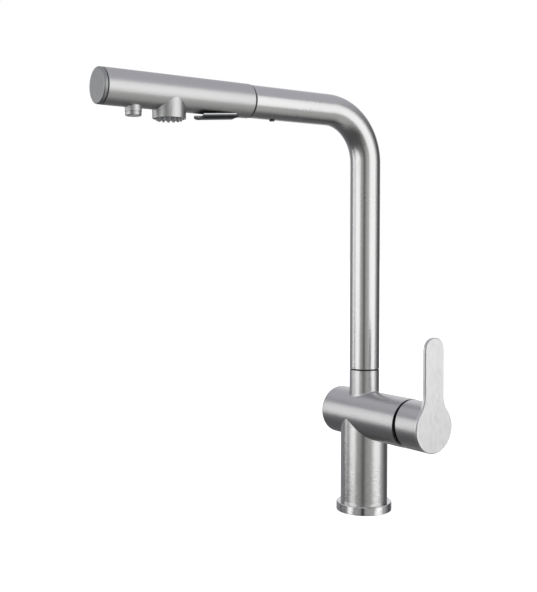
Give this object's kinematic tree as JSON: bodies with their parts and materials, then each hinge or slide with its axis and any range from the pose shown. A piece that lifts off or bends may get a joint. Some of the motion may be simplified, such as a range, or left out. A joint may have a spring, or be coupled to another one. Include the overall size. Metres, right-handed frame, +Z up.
{
  "type": "pull-out kitchen faucet",
  "caption": "L-shaped swivel kitchen faucet in brushed steel with a side lever and a pull-out spray head that has an aerated outlet, a spray outlet and a diverter lever.",
  "frame": {"origin": "on the column's axis at the deck plane, under the base ring", "axes": "+Z up along the column; the spout points along -Y towards the user; the lever is on the +X side"},
  "size_m": [0.131, 0.2978, 0.3885],
  "materials": {
    "brushed_steel": "satin, brushed",
    "polished_steel": "fine satin, nearly polished",
    "spring_steel": "plain",
    "brass": "machined",
    "copper": "drawn tube",
    "black_plastic": "moulded",
    "grey_plastic": "moulded acetal",
    "white_plastic": "moulded acetal",
    "rubber": "matt",
    "nozzle_rubber": "matt silicone",
    "ceramic": "lapped",
    "braid": "woven nylon braid",
    "lever_steel": "satin"
  },
  "bodies": {
    "faucet_body": {"column_tube": "brushed_steel", "cross_body": "brushed_steel", "base_ring": "polished_steel", "deck_gasket": "rubber", "brass_foot": "brass", "hot_pipe": "copper", "cold_pipe": "copper", "outlet_pipe": "copper", "valve_housing": "brass", "cartridge_base": "grey_plastic", "port_seals": "rubber", "fixed_ceramic_disc": "ceramic", "cartridge_housing": "grey_plastic", "cartridge_nut": "brass", "trim_ring": "black_plastic", "swivel_bush": "white_plastic", "swivel_washer": "black_plastic", "swivel_stop_screw": "spring_steel"},
    "cartridge_rotor": {"cartridge_carrier": "white_plastic", "moving_ceramic_disc": "ceramic", "stem_pin": "spring_steel"},
    "handle": {"handle_plate": "brushed_steel", "handle_sleeve": "brushed_steel", "handle_stem": "brass", "handle_grub_screw": "spring_steel", "handle_plug": "grey_plastic"},
    "spout": {"spout_tube": "brushed_steel", "swivel_journal": "brass", "swivel_o_rings": "rubber", "spout_clip": "spring_steel", "docking_sleeve": "white_plastic", "docking_screw": "black_plastic", "joint_ring": "black_plastic", "hose": "braid"},
    "spray_head": {"head_shell": "brushed_steel", "head_waterway": "white_plastic", "end_cap": "brushed_steel", "cap_seal": "black_plastic", "docking_stud": "grey_plastic", "docking_o_ring": "rubber", "hose_fitting": "brass", "hose_washer": "rubber", "check_valve": "white_plastic", "stream_ring": "polished_steel", "aerator": "grey_plastic", "aerator_seal": "rubber", "spray_plate": "polished_steel", "spray_nozzles": "nozzle_rubber", "lever_cover": "black_plastic", "lever_pin": "spring_steel"},
    "diverter": {"diverter_lever": "lever_steel"},
    "spool": {"diverter_spool": "white_plastic"}
  },
  "joints": [
    {"name": "spout_swivel", "type": "hinge", "parent": "faucet_body", "child": "spout", "pos_m": [0, 0, 0.1338], "axis": [0, 0, 1], "range_deg": [-60, 60]},
    {"name": "temperature_turn", "type": "hinge", "parent": "faucet_body", "child": "cartridge_rotor", "pos_m": [0.046, 0, 0.0915], "axis": [1, 0, 0], "range_deg": [-45, 45]},
    {"name": "handle_lift", "type": "hinge", "parent": "cartridge_rotor", "child": "handle", "pos_m": [0.046, 0, 0.0915], "axis": [0, 1, 0], "range_deg": [0, 11]},
    {"name": "head_pull_out", "type": "slide", "parent": "spout", "child": "spray_head", "axis": [0, -1, 0], "range_m": [0, 0.45], "deforming": ["hose"]},
    {"name": "diverter_rock", "type": "hinge", "parent": "spray_head", "child": "diverter", "pos_m": [0, -0.15, 0.3628], "axis": [-1, 0, 0], "range_deg": [0, 5]},
    {"name": "spool_lift", "type": "slide", "parent": "spray_head", "child": "spool", "axis": [0, 0, 1], "range_m": [0, 0.0008]}
  ],
  "couplings": [
    {"joint": "spool_lift", "follows": "diverter_rock", "m_per_rad": 0.009}
  ]
}
